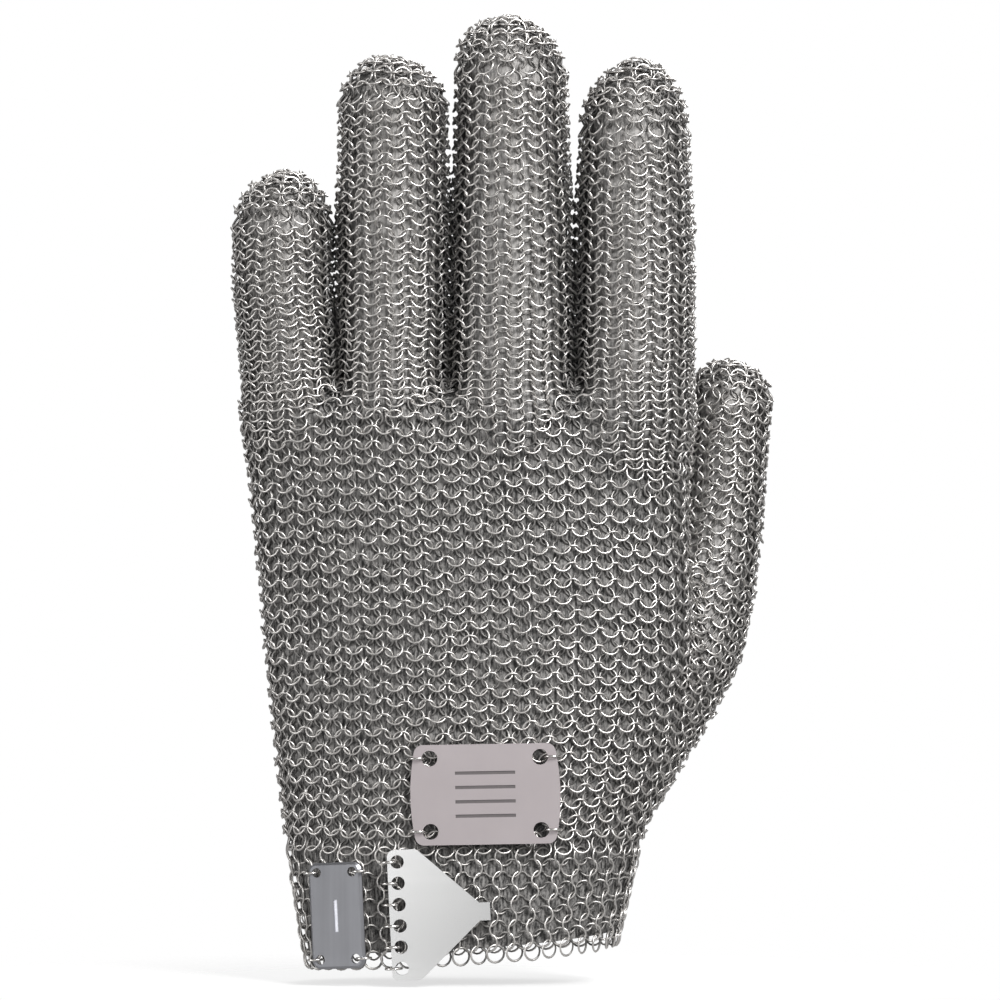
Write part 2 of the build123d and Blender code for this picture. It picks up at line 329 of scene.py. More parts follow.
class Nodes:
    """The node tree of one material."""

    def __init__(self, name):
        self.material = bpy.data.materials.new(name)
        self.material.use_nodes = True
        self.tree = self.material.node_tree
        self.shader = self.tree.nodes["Principled BSDF"]
        self.place = self.add("ShaderNodeTexCoord", output="Object")

    def add(self, kind, settings=None, inputs=None, output=0):
        """Add a node, set it up, feed its sockets and give one of its outputs."""
        node = self.tree.nodes.new(kind)
        for key, value in (settings or {}).items():
            if key == "stops":
                self._set_stops(node.color_ramp, value)
            else:
                setattr(node, key, value)
        for key, value in (inputs or {}).items():
            self.feed(node.inputs[key], value)
        return Wire(self, node.outputs[output])

    def _set_stops(self, ramp, stops):
        while len(ramp.elements) < len(stops):
            ramp.elements.new(0.5)
        for element, (position, value) in zip(ramp.elements, stops):
            element.position = position
            element.color = value if isinstance(value, tuple) else (value, value, value, 1)

    def feed(self, socket, value):
        """Link a wire to a socket, or set the socket's own value."""
        if isinstance(value, Wire):
            self.tree.links.new(value.socket, socket)
        else:
            socket.default_value = value

    def noise(self, scale, detail=3.0, stretch=None):
        """Smooth noise over the piece, between 0 and 1."""
        place = self.place
        if stretch:
            place = self.add("ShaderNodeMapping", inputs={"Vector": place, "Scale": stretch})
        return self.add("ShaderNodeTexNoise", inputs={"Vector": place, "Scale": scale, "Detail": detail})

    def mix(self, share, first, second):
        """A colour between two colours."""
        inputs = {0: share, 6: first, 7: second}
        return self.add("ShaderNodeMix", {"data_type": "RGBA"}, inputs, output=2)

    def bump(self, height, strength, distance):
        """A bumped normal."""
        inputs = {"Height": height, "Strength": strength, "Distance": distance}
        return self.add("ShaderNodeBump", inputs=inputs)

    def finish(self, **values):
        """Feed the shader's sockets and give the material."""
        for key, value in values.items():
            self.feed(self.shader.inputs[key.replace("_", " ")], value)
        return self.material


def shade(colour, factor):
    """The same colour, lighter or darker."""
    return tuple(part * factor for part in colour[:3]) + (1.0,)


def mesh_steel(colour):
    """Drawn stainless wire with painted light and shade: painted lighter where it stands out of the mesh,
    painted dark where it lies inside where shade falls, and a little more metallic and smoother outside.
    """
    nodes = Nodes("mesh_steel")
    outer = nodes.add("ShaderNodeAttribute", {"attribute_name": "outer"}, output="Fac")
    patches = nodes.noise(45.0)
    fine = nodes.noise(900.0, 4.0)
    # Painted light share from the outer attribute: painted shade on the rings' inward halves, the digits'
    # painted light and the crevices' painted shade; it also makes outer arcs more metallic and smoother
    painted_light_and_polish = nodes.add(
        "ShaderNodeValToRGB", {"stops": ((0.3, 0.0), (0.66, 1.0))}, {"Fac": outer + 0.2 * (fine - 0.5)}
    )
    tone = nodes.mix(patches * 0.6 + fine * 0.4, shade(colour, 0.85), shade(colour, 1.12))
    # Painted shade: the dark colour given to the ring parts that lie inside the mesh
    painted_shade_tone = nodes.mix(fine, shade(colour, 0.16), shade(colour, 0.36))
    scratches = nodes.noise(2600.0, 2.0)
    return nodes.finish(
        Base_Color=nodes.mix(painted_light_and_polish, painted_shade_tone, tone),
        Metallic=0.55 + 0.4 * painted_light_and_polish,
        Roughness=0.42 - 0.08 * painted_light_and_polish + 0.1 * fine,
        Normal=nodes.bump(scratches, 0.06, 0.00003),
    )


def mesh_inside(colour):
    """A sheet of painted shade inside the weave, standing in for its shaded inner side: a mottled dark grey
    with upright streaks, painted lighter on the digits' back and front and darker between fingers.
    """
    nodes = Nodes("mesh_inside")
    painted_lift_and_shade = nodes.add("ShaderNodeAttribute", {"attribute_name": "outer"}, output="Fac")
    streaks = nodes.noise(2300.0, 3.0, (1.0, 1.0, 0.22))
    specks = nodes.noise(3000.0, 2.0)
    mottle = streaks * 0.7 + specks * 0.3
    share = nodes.add("ShaderNodeValToRGB", {"stops": ((0.4, 0.0), (0.6, 1.0))}, {"Fac": mottle})
    # Painted shade: near black to mid grey, lifted by the digits' painted light and lowered by the
    # crevices' painted shade
    tone = nodes.mix(share * 0.7 + painted_lift_and_shade, shade(colour, 0.02), shade(colour, 0.55))
    return nodes.finish(
        Base_Color=tone,
        Metallic=0.2,
        Roughness=0.5 + 0.25 * specks,
        Normal=nodes.bump(streaks, 0.3, 0.0003),
    )


def bright_wire(colour):
    """The rings that hold the plates, brighter than the mesh."""
    nodes = Nodes("bright_wire")
    fine = nodes.noise(1200.0)
    tone = nodes.mix(fine, shade(colour, 0.95), shade(colour, 1.25))
    return nodes.finish(Base_Color=tone, Metallic=1.0, Roughness=0.16 + 0.1 * fine)


def satin_plate(colour):
    """Satin sheet with a fine upright grain and faint clouding."""
    nodes = Nodes("satin_plate")
    grain = nodes.noise(420.0, 5.0, (1.0, 1.0, 0.04))
    clouds = nodes.noise(90.0)
    tone = nodes.mix(clouds * 0.7 + grain * 0.3, shade(colour, 0.9), shade(colour, 1.08))
    return nodes.finish(
        Base_Color=tone,
        Metallic=0.9,
        Roughness=0.36 + 0.1 * grain,
        Normal=nodes.bump(grain, 0.12, 0.00005),
    )


def polished_clasp(colour):
    """Polished sheet with faint hairlines and a painted reflection: painted lighter near its hinge and
    darker across towards its other edge.
    """
    nodes = Nodes("polished_clasp")
    hairlines = nodes.noise(700.0, 6.0, (0.05, 1.0, 1.0))
    clouds = nodes.noise(60.0)
    low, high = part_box("clasp_plate")
    # Painted reflection: a gradient across the plate, lightest at its hinge edge
    across = nodes.add("ShaderNodeSeparateXYZ", inputs={"Vector": nodes.place}, output="X")
    painted_reflection_gradient = nodes.add("ShaderNodeMapRange", inputs={"Value": across, "From Min": low.x, "From Max": high.x})
    tone = nodes.mix(painted_reflection_gradient * 0.85 + clouds * 0.15, shade(colour, 1.18), shade(colour, 0.84))
    return nodes.finish(
        Base_Color=tone,
        Metallic=1.0,
        Roughness=0.14 + 0.08 * hairlines,
        Normal=nodes.bump(hairlines, 0.004, 0.00002),
    )


def brushed_tag(colour):
    """Darker brushed sheet with upright brush lines."""
    nodes = Nodes("brushed_tag")
    lines = nodes.noise(650.0, 5.0, (1.0, 1.0, 0.03))
    clouds = nodes.noise(120.0)
    tone = nodes.mix(lines * 0.6 + clouds * 0.4, shade(colour, 0.8), shade(colour, 1.2))
    return nodes.finish(
        Base_Color=tone,
        Metallic=1.0,
        Roughness=0.3 + 0.12 * lines,
        Normal=nodes.bump(lines, 0.2, 0.00005),
    )


def engraved_line(name, colour):
    """The rough floor of an engraved line."""
    nodes = Nodes(name)
    grain = nodes.noise(2000.0)
    tone = nodes.mix(grain, shade(colour, 0.8), shade(colour, 1.2))
    return nodes.finish(Base_Color=tone, Metallic=0.6, Roughness=0.5 + 0.2 * grain)


def floor_paint(colour):
    """Plain matt white that fades out towards the floor's rim."""
    nodes = Nodes("floor_paint")
    distance = nodes.add("ShaderNodeVectorMath", {"operation": "LENGTH"}, {0: nodes.place}, output="Value")
    fade = nodes.add(
        "ShaderNodeMapRange",
        inputs={"Value": distance, "From Min": FLOOR_RADIUS, "From Max": FLOOR_RADIUS * 0.5, "To Max": 0.3},
    )
    return nodes.finish(Base_Color=colour, Roughness=0.9, Alpha=fade)


# ------------------------------------------------------------- filled shape


def ramp(value, start, end):
    """0 up to the start, 1 from the end, and even in between."""
    return np.clip((value - start) / (end - start), 0, 1)


def palm_section(height):
    """Middle, half width and half depth of the mesh's middle layer at each height."""
    share = np.clip((height - CUFF_HEIGHT) / PALM_HEIGHT, 0, 1.1)
    rise = np.sin(np.pi / 2 * np.clip(share / RIGHT_SWELL, 0, 1))
    left = -WRIST_HALF_WIDTH - (PALM_LEFT - WRIST_HALF_WIDTH) * share
    left -= PALM_BULGE * np.sin(np.pi * np.clip(share, 0, 1))
    right = WRIST_HALF_WIDTH + (PALM_RIGHT - WRIST_HALF_WIDTH) * rise
    below = np.clip(height / CUFF_HEIGHT, 0, 1)
    narrow = (WRIST_HALF_WIDTH - HEM_HALF_WIDTH) * (1 - below)
    deep = WRIST_HALF_DEPTH + (KNUCKLE_HALF_DEPTH - WRIST_HALF_DEPTH) * share
    inset = MESH_THICKNESS / 2
    shift = PALM_SHIFT * ramp(height, *PALM_SHIFT_TOP) * ramp(height, *PALM_SHIFT_BOTTOM)
    return (left + right) / 2 + shift, (right - left) / 2 - narrow - inset, deep - inset


def finger_across(name):
    """Place across the palm of one finger, from its frame node."""
    low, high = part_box(f"{name}_upper_mesh")
    return (low.x + high.x) / 2 / MM


def finger_tip(name):
    """Height of one finger's tip, from its frame node."""
    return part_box(f"{name}_upper_mesh")[1].z / MM


FINGER_ACROSS = {name: finger_across(name) for name in FINGERS}
FINGER_TIP = {name: finger_tip(name) for name in FINGERS}


def finger_centre(name, height):
    """Place across of a finger's middle at each height: its foot and tip lean a little."""
    foot = FINGER_FOOT_SHIFT[name] * np.clip(1 - (height - PALM_TOP) / FOOT_SHIFT_REACH, 0, 1.5)
    tip = FINGER_TIP_SHIFT[name] * ramp(height, FINGER_TIP[name] - TIP_SHIFT_REACH, FINGER_TIP[name])
    return FINGER_ACROSS[name] + foot + tip


def finger_radius(name, height):
    """Radius of a finger's middle layer at each height, without its rounded end."""
    share = ramp(height, FINGER_FOOT, FINGER_TIP[name] - FINGER_DOME[name])
    outer = FINGER_FOOT_RADIUS[name] + (FINGER_END_RADIUS[name] - FINGER_FOOT_RADIUS[name]) * share
    swell = FINGER_SWELL[name] * ramp(height, *FINGER_SWELL_FADE)
    shrink = FINGER_ROOT_TAPER * np.clip(FINGER_FOOT - height, 0, FINGER_ROOT_REACH)
    return outer + swell - shrink - MESH_THICKNESS / 2


def oval_distance(points):
    """How far each point is outside the palm."""
    middle, half_width, half_depth = palm_section(points[:, 2])
    wide = np.abs(points[:, 0] - middle) / half_width
    deep = np.abs(points[:, 1]) / half_depth
    level = np.maximum((wide**OVAL_POWER + deep**OVAL_POWER) ** (1 / OVAL_POWER), TINY)
    steep_x = (wide / level) ** (OVAL_POWER - 1) / half_width
    steep_y = (deep / level) ** (OVAL_POWER - 1) / half_depth
    side = (level - 1) / np.hypot(steep_x, steep_y)
    return rounded_corner(side, points[:, 2] - WEB_HEIGHT, WEB_FILLET)


def finger_shoulder(name):
    """Height where a finger's rounded end starts, at the mesh's middle layer."""
    return FINGER_TIP[name] - MESH_THICKNESS / 2 - FINGER_DOME[name]


def rounded_corner(side, end, radius):
    """Distance to a shape with a rounded edge between its side and its end."""
    out_side = np.maximum(side + radius, 0)
    out_end = np.maximum(end + radius, 0)
    return np.hypot(out_side, out_end) + np.minimum(np.maximum(side, end) + radius, 0) - radius


def tube_distance(points, section, shoulder, dome):
    """How far each point is outside a tube with a rounded end above its shoulder."""
    across, deep, radius = section
    height = points[:, 2]
    away = np.hypot(points[:, 0] - across, points[:, 1] - deep)
    rise = np.maximum(height - shoulder, 0) / dome
    level = np.maximum(np.hypot(away / radius, rise), TINY)
    steep = np.hypot(away / radius / level / radius, rise / level / dome)
    return np.where(height > shoulder, (level - 1) / np.maximum(steep, TINY), away - radius)


def finger_distance(name, points):
    """How far each point is outside one finger."""
    height = points[:, 2]
    section = finger_centre(name, height), 0.0, finger_radius(name, height)
    body = tube_distance(points, section, finger_shoulder(name), FINGER_DOME[name])
    return rounded_corner(body, FINGER_ROOT - height, FINGER_ROOT_FILLET)


def thumb_section(height):
    """Place across, place deep and radius of the thumb's middle layer at each height."""
    table = np.array(THUMB_SECTIONS)
    across = np.interp(height, table[:, 0], table[:, 1]) + THUMB_SHIFT
    deep = np.interp(height, table[:, 0], table[:, 2])
    radius = np.interp(height, table[:, 0], table[:, 3])
    return across, deep, radius - MESH_THICKNESS / 2


def thumb_distance(points):
    """How far each point is outside the thumb."""
    height = points[:, 2]
    body = tube_distance(points, thumb_section(height), THUMB_SHOULDER, THUMB_MIDDLE_DOME)
    return rounded_corner(body, THUMB_ROOT - height, THUMB_ROOT_FILLET)


def smooth_least(first, second, width):
    """The lesser of two distances, with a fillet where they are alike."""
    near = np.maximum(width - np.abs(first - second), 0)
    return np.minimum(first, second) - near * near / (4 * width)


def part_distances(points):
    """Distances to the palm, to the nearest finger and to the thumb."""
    fingers = np.min([finger_distance(name, points) for name in FINGERS], axis=0)
    return oval_distance(points), fingers, thumb_distance(points)


def hand_distance(points):
    """Distance to the whole hand with filleted joins."""
    palm, fingers, thumb = part_distances(points)
    return smooth_least(smooth_least(palm, fingers, FINGER_FILLET), thumb, THUMB_FILLET)


def hand_slope(points):
    """Outward direction of the hand's surface near each point."""
    step = 0.08
    slope = np.zeros_like(points)
    for axis in range(3):
        shift = np.zeros(3)
        shift[axis] = step
        slope[:, axis] = (hand_distance(points + shift) - hand_distance(points - shift)) / (2 * step)
    return slope


def unit(vectors):
    """Vectors scaled to length one."""
    return vectors / np.maximum(np.linalg.norm(vectors, axis=1, keepdims=True), 1e-9)


# -------------------------------------------------------------------- weave


class Weave:
    """Ring places collected row by row: centre, row direction and which way each ring leans."""

    def __init__(self):
        self.centres = []
        self.along = []
        self.sides = []

    def add_row(self, centres, along, side):
        self.centres.append(centres)
        self.along.append(along)
        self.sides.append(np.full(len(centres), float(side)))

    def arrays(self):
        return np.concatenate(self.centres), np.concatenate(self.along), np.concatenate(self.sides)


def oval_row(height, count, offset, climb=0.0):
    """Evenly spaced places round the palm's section, with the row's direction.

    The row starts at the middle of the back and climbs towards the palm side.
    """
    fine = np.linspace(0, 2 * np.pi, 721)
    middle, half_width, half_depth = palm_section(np.array([height]))
    power = 2 / OVAL_POWER
    x = middle + np.sign(np.sin(fine)) * np.abs(np.sin(fine)) ** power * half_width
    y = -np.sign(np.cos(fine)) * np.abs(np.cos(fine)) ** power * half_depth
    length = np.concatenate([[0], np.cumsum(np.hypot(np.diff(x), np.diff(y)))])
    wanted = (np.arange(count) + offset) / count * length[-1]
    px = np.interp(wanted, length, x)
    py = np.interp(wanted, length, y)
    ahead_x = np.interp((wanted + 0.5) % length[-1], length, x)
    ahead_y = np.interp((wanted + 0.5) % length[-1], length, y)
    rise = climb * (1 - np.cos(wanted / length[-1] * 2 * np.pi)) / 2
    centres = np.column_stack([px, py, height + rise])
    along = unit(np.column_stack([ahead_x - px, ahead_y - py, np.zeros(count)]))
    return centres, along


def round_row(across, deep, height, radius, count, offset, climb=0.0):
    """Evenly spaced places round a circle, with the row's direction."""
    angle = (np.arange(count) + offset) / count * 2 * np.pi
    rise = climb * (1 - np.cos(angle)) / 2
    x = across + radius * np.sin(angle)
    y = deep - radius * np.cos(angle)
    centres = np.column_stack([x, y, height + rise])
    along = np.column_stack([np.cos(angle), np.sin(angle), np.zeros(count)])
    return centres, along


def palm_weave(sizes):
    """Rows of rings round the palm, from the wrist to the webs."""
    weave = Weave()
    rows = int((PALM_HEIGHT + PALM_WEAVE_PAST) * MM / sizes.row_pitch)
    for row in range(rows):
        height = PALM_WEAVE_FROM + row * sizes.row_pitch / MM
        centres, along = oval_row(height, PALM_COUNT, ROW_START + 0.5 * (row % 2), ROW_CLIMB)
        share = (height - CUFF_HEIGHT) / PALM_HEIGHT
        centres[:, 2] -= ROW_SLOPE * math.sin(math.pi * min(share, 1)) * centres[:, 0]
        weave.add_row(centres, along, 1 if row % 2 else -1)
    return weave


def dome_rows(weave, across, deep, shoulder, dome, radius, count, row, pitch, row_pitch):
    """Rows of rings over a rounded end, with fewer rings as they near its tip."""
    fine = np.linspace(0, np.pi / 2, 200)
    x = radius * np.cos(fine)
    z = dome * np.sin(fine)
    length = np.concatenate([[0], np.cumsum(np.hypot(np.diff(x), np.diff(z)))])
    steps = int(length[-1] / row_pitch)
    for step in range(1, steps + 1):
        place = step * row_pitch
        ring_x = np.interp(place, length, x)
        ring_z = np.interp(place, length, z)
        around = int(np.clip(round(2 * np.pi * ring_x / (pitch * DOME_CROWDING)), 3, count))
        start = 0.5 * ((row + step) % 2)
        centres, along = round_row(across, deep, shoulder + ring_z, ring_x, around, start)
        weave.add_row(centres, along, 1 if (row + step) % 2 else -1)


def finger_weave(name, sizes):
    """Rows of rings up one finger and over its tip, closer together low down."""
    weave = Weave()
    dome = FINGER_DOME[name]
    shoulder = finger_shoulder(name)
    pitch = sizes.ring_pitch / MM
    end_radius = float(finger_radius(name, shoulder))
    count = int(round(2 * math.pi * end_radius / pitch))
    height = FINGER_WEAVE_FROM
    row = 0
    while height < shoulder:
        across = float(finger_centre(name, height))
        radius = float(finger_radius(name, height))
        start = ROW_START + 0.5 * (row % 2)
        centres, along = round_row(across, 0.0, height, radius, count, start, ROW_CLIMB)
        weave.add_row(centres, along, 1 if row % 2 else -1)
        tall = ramp(height, PALM_TOP, PALM_TOP + FINGER_PITCH_REACH)
        height += FINGER_ROW_PITCH[0] + (FINGER_ROW_PITCH[1] - FINGER_ROW_PITCH[0]) * tall
        row += 1
    across = float(finger_centre(name, shoulder + dome / 2))
    dome_rows(weave, across, 0.0, shoulder, dome, end_radius, count, row, pitch, FINGER_DOME_PITCH)
    return weave


def thumb_weave(sizes):
    """Rows of rings up the thumb and over its tip."""
    weave = Weave()
    pitch = sizes.ring_pitch / MM
    height = THUMB_ROOT
    row = 0
    while height < THUMB_SHOULDER:
        across, deep, radius = (float(value) for value in thumb_section(height))
        count = next(rings for below, rings in THUMB_RINGS if height < below)
        start = ROW_START + 0.5 * (row % 2)
        centres, along = round_row(across, deep, height, radius, count, start, ROW_CLIMB)
        weave.add_row(centres, along, 1 if row % 2 else -1)
        height += THUMB_ROW_PITCH
        row += 1
    dome = THUMB_MIDDLE_DOME
    dome_rows(weave, across, deep, THUMB_SHOULDER, dome, radius, count, row, pitch, THUMB_DOME_PITCH)
    return weave


def onto_hand(points, level=0.0):
    """Bring points onto the filleted hand's surface, or onto one a little inside it."""
    for _ in range(3):
        slope = hand_slope(points)
        gap = hand_distance(points) - level
        points = points - slope * (gap / np.maximum((slope**2).sum(axis=1), LEAST_SLOPE))[:, None]
    return points


def owned(points, start, owner, margin, level=0.0):
    """Which points lie well on the surface and belong to the part, not to another one."""
    distances = part_distances(points)
    others = [distance for index, distance in enumerate(distances) if index != owner]
    keep = distances[owner] <= np.min(others, axis=0) + margin
    keep &= np.linalg.norm(points - start, axis=1) < FARTHEST_MOVE
    return keep & (np.abs(hand_distance(points) - level) < FARTHEST_OFF)


def settle(weave, owner):
    """Bring rings onto the filleted hand and drop those that another part covers."""
    start, along, sides = weave.arrays()
    centres = onto_hand(start)
    keep = owned(centres, start, owner, RING_MARGIN)
    return centres[keep], along[keep], sides[keep]


def inner_face(rows, owner):
    """The inner face of a part's weave, a dark sheet of painted shade, as corners and four-sided faces,
    from closed rows of points.
    """
    start = np.array(rows)
    levels, around = start.shape[:2]
    start = start.reshape(-1, 3)
    corners = onto_hand(start, -INNER_DEPTH)
    keep = owned(corners, start, owner, INNER_MARGIN, -INNER_DEPTH)
    level, place = np.meshgrid(np.arange(levels - 1), np.arange(around), indexing="ij")
    ahead = (place + 1) % around
    low = level * around
    high = low + around
    faces = np.stack([low + place, low + ahead, high + ahead, high + place], axis=-1).reshape(-1, 4)
    return corners, faces[keep[faces].all(axis=1)]


def tube_rows(section, low, high, dome):
    """Rows of points up a finger or thumb and over its rounded end."""
    rows = []
    for height in np.arange(low, high, TUBE_ROW_STEP):
        across, deep, radius = section(height)
        rows.append(round_row(across, deep, height, radius, TUBE_AROUND, 0.0)[0])
    across, deep, radius = section(high)
    for angle in np.linspace(0, TUBE_LAST_ANGLE, TUBE_DOME_ROWS):
        height = high + dome * math.sin(angle)
        rows.append(round_row(across, deep, height, radius * math.cos(angle), TUBE_AROUND, 0.0)[0])
    return rows


def palm_inner_face():
    """The palm's inner face of painted shade, closed over the webs."""
    heights = np.arange(*PALM_INNER_REACH, PALM_ROW_STEP)
    rows = [oval_row(height, OVAL_AROUND, 0.0)[0] for height in heights]
    rim = rows[-1]
    middle = rim.mean(axis=0)
    for share in WEB_SHARES:
        rows.append(middle + (rim - middle) * np.array([1, share, 1]))
    return inner_face(rows, PALM_PART)


def finger_inner_face(name):
    """One finger's inner face of painted shade."""

    def section(height):
        return float(finger_centre(name, height)), 0.0, float(finger_radius(name, height))

    rows = tube_rows(section, FINGER_INNER_FROM, finger_shoulder(name), FINGER_DOME[name])
    return inner_face(rows, FINGER_PART)


def thumb_inner_face():
    """The thumb's inner face of painted shade."""

    def section(height):
        return (float(value) for value in thumb_section(height))

    rows = tube_rows(section, THUMB_INNER_FROM, THUMB_SHOULDER, THUMB_MIDDLE_DOME)
    return inner_face(rows, THUMB_PART)


def one_ring(width, wire):
    """One wire ring about Z: its corner places and its four-sided faces."""
    bpy.ops.object.select_all(action="DESELECT")
    bpy.ops.mesh.primitive_torus_add(
        major_segments=16, minor_segments=4, major_radius=width / 2, minor_radius=wire / 2
    )
    ring = bpy.context.object
    corners = np.array([corner.co for corner in ring.data.vertices])
    faces = np.array([list(face.vertices) for face in ring.data.polygons])
    bpy.data.objects.remove(ring)
    return corners, faces


def make_rings(name, ring, centres, planes, inside, digit_from=None):
    """One piece made of many copies of a ring, each in its own place and plane, and of its inner face, a
    sheet of painted shade.
    """
    corners, faces = ring
    first, second, outward = planes
    third = np.cross(first, second)
    shifts = (
        corners[None, :, 0:1] * first[:, None, :]
        + corners[None, :, 1:2] * second[:, None, :]
        + corners[None, :, 2:3] * third[:, None, :]
    )
    ring_corners = (centres[:, None, :] * MM + shifts).reshape(-1, 3)
    ring_faces = (faces[None] + (np.arange(len(centres)) * len(corners))[:, None, None]).reshape(-1, 4)
    inside_corners, inside_faces = inside
    used, inside_faces = np.unique(inside_faces, return_inverse=True)
    inside_corners = inside_corners[used]
    inside_faces = inside_faces.reshape(-1, 4) + len(ring_corners)
    all_corners = np.concatenate([ring_corners, inside_corners * MM])
    mesh = make_mesh(name, all_corners, np.concatenate([ring_faces, inside_faces]))
    mesh.polygons.foreach_set("material_index", np.repeat([0, 1], [len(ring_faces), len(inside_faces)]))
    # Painted light and shade in the outer attribute: rings painted darker on their inward halves and
    # lighter on their outward ones, digits lighter on their back and front, and the gaps between fingers
    # darker
    heights = (shifts * outward[:, None, :]).sum(axis=2) / (MESH_THICKNESS / 2 * MM)
    ring_painted_light = (0.5 * digit_lift(centres, outward, digit_from) - crevice(centres))[:, None]
    inside_outward = unit(hand_slope(inside_corners))
    inside_painted_light = digit_lift(inside_corners, inside_outward, digit_from) - crevice(inside_corners)
    values = np.concatenate([(0.5 + 0.5 * heights + ring_painted_light).ravel(), inside_painted_light])
    outer = mesh.attributes.new("outer", "FLOAT", "POINT")
    outer.data.foreach_set("value", values.astype(np.float32))
    mesh.materials.append(mesh_material(mesh_steel))
    mesh.materials.append(mesh_material(mesh_inside))
    piece = bpy.data.objects.new(name, mesh)
    bpy.context.scene.collection.objects.link(piece)
    return piece


def make_mesh(name, corners, faces):
    """A smooth mesh of four-sided faces."""
    mesh = bpy.data.meshes.new(name)
    mesh.vertices.add(len(corners))
    mesh.vertices.foreach_set("co", corners.astype(np.float32).ravel())
    mesh.loops.add(faces.size)
    mesh.loops.foreach_set("vertex_index", faces.astype(np.int32).ravel())
    mesh.polygons.add(len(faces))
    mesh.polygons.foreach_set("loop_start", np.arange(len(faces), dtype=np.int32) * 4)
    mesh.polygons.foreach_set("use_smooth", np.ones(len(faces), bool))
    mesh.update(calc_edges=True)
    return mesh


def digit_lift(points, outward, start):
    """Painted light: how much lighter the mesh is painted on the rounded back and front of a digit than at
    its sides, where the neighbouring fingers shade it.
    """
    if start is None:
        return np.zeros(len(points))
    crest = 1.7 * outward[:, 1] ** 2 - 0.7
    return DIGIT_LIFT * crest * ramp(points[:, 2], start, start + DIGIT_LIFT_REACH)


def crevice(points):
    """How deep each point lies in shade between two fingers or at the web below them."""
    gaps = np.sort([finger_distance(name, points) for name in FINGERS], axis=0)
    narrow = np.clip(CREVICE_START - gaps[1] / CREVICE_WIDTH, 0, 1)
    return CREVICE_SHADE * narrow * ramp(points[:, 2], *CREVICE_RISE)


def ring_planes(centres, along, sides, lean, chance, upright=False):
    """The two in-plane directions of each ring and the way out of the mesh, with a little unevenness."""
    outward = unit(hand_slope(centres))
    tilted = unit(outward + chance.normal(0, TILT_NOISE, centres.shape))
    along = unit(along - tilted * (along * tilted).sum(axis=1)[:, None])
    up = np.cross(tilted, along)
    lean = (lean + chance.normal(0, LEAN_NOISE, len(centres))) * sides
    row, cross = (up, along) if upright else (along, up)
    second = np.cos(lean)[:, None] * cross + np.sin(lean)[:, None] * tilted
    return row, second, outward


def mesh_material(finish):
    """One of the two finishes that all the woven pieces share: the rings' steel, or the sheet of painted
    shade inside them.
    """
    return bpy.data.materials.get(finish.__name__) or finish(bpy.context.scene.glove_colours.mesh)


def wander(centres, along):
    """Slow waves in the rows, as in slack mesh."""
    x, z = centres[:, 0], centres[:, 2]
    moved = centres + along * wave(z, x, *SIDE_WAVE)[:, None]
    moved[:, 2] += wave(x, z, *UP_WAVE)
    return moved


def wave(main, other, size, steps, swing, swing_steps):
    """A wave along one direction whose crests swing with the other one."""
    return size * np.sin(steps * main + swing * np.sin(swing_steps * other))


def weave_piece(name, places, inside, sizes, chance, chosen, lean=0.0, digit_from=None):
    """A piece of body mesh: the settled places and inner faces that the test chooses."""
    keep = chosen(places[0])
    centres, along, sides = (values[keep] for values in places)
    centres = wander(centres, along) + chance.normal(0, PLACE_NOISE, centres.shape)
    planes = ring_planes(centres, along, sides, sizes.lean + lean, chance)
    corners, faces = inside
    faces = faces[chosen(corners[faces].mean(axis=1))]
    return make_rings(name, one_ring(sizes.ring, sizes.wire), centres, planes, (corners, faces), digit_from)


# ---------------------------------------------------------------- operators


class GLOVE_OT_palm(bpy.types.Operator):
    """Weave the back and the palm side of the hand"""

    bl_idname = "glove.palm"
    bl_label = "Palm"

    def execute(self, context):
        sizes = context.scene.glove_sizes
        chance = np.random.default_rng(sizes.seed)
        parts = (settle(palm_weave(sizes), PALM_PART), palm_inner_face(), sizes, chance)
        back = weave_piece("back_weave", *parts, lambda place: place[:, 1] <= 0)
        front = weave_piece("palm_weave", *parts, lambda place: place[:, 1] > 0)
        for piece, node in ((back, "palm_back_mesh"), (front, "palm_front_mesh")):
            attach(piece, "root")
            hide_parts(node)
        return {"FINISHED"}


class GLOVE_OT_fingers(bpy.types.Operator):
    """Weave the four fingers, each as a length over the knuckle and one over the middle joint"""

    bl_idname = "glove.fingers"
    bl_label = "Fingers"

    def execute(self, context):
        sizes = context.scene.glove_sizes
        for index, name in enumerate(FINGERS):
            chance = np.random.default_rng(sizes.seed + 10 + index)
            parts = (settle(finger_weave(name, sizes), FINGER_PART), finger_inner_face(name), sizes, chance)
            manner = {"lean": FINGER_LEAN, "digit_from": FINGER_LIFT_FROM}
            knuckle = joint_places[f"{name}_knuckle_bend"]
            middle = joint_places[f"{name}_middle_bend"]
            split = (knuckle[2] + middle[2]) / 2 / MM
            lower = weave_piece(f"{name}_lower_weave", *parts, lambda place: place[:, 2] < split, **manner)
            upper = weave_piece(f"{name}_upper_weave", *parts, lambda place: place[:, 2] >= split, **manner)
            reach = (middle[2] - knuckle[2]) / 2 - 0.5 * MM
            bend_at(lower)
            bend_at(upper)
            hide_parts(f"{name}_lower_mesh")
            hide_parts(f"{name}_upper_mesh")
        return {"FINISHED"}


def bend_at(piece):
    """Bake a piece's place into its corners."""
    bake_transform(piece)


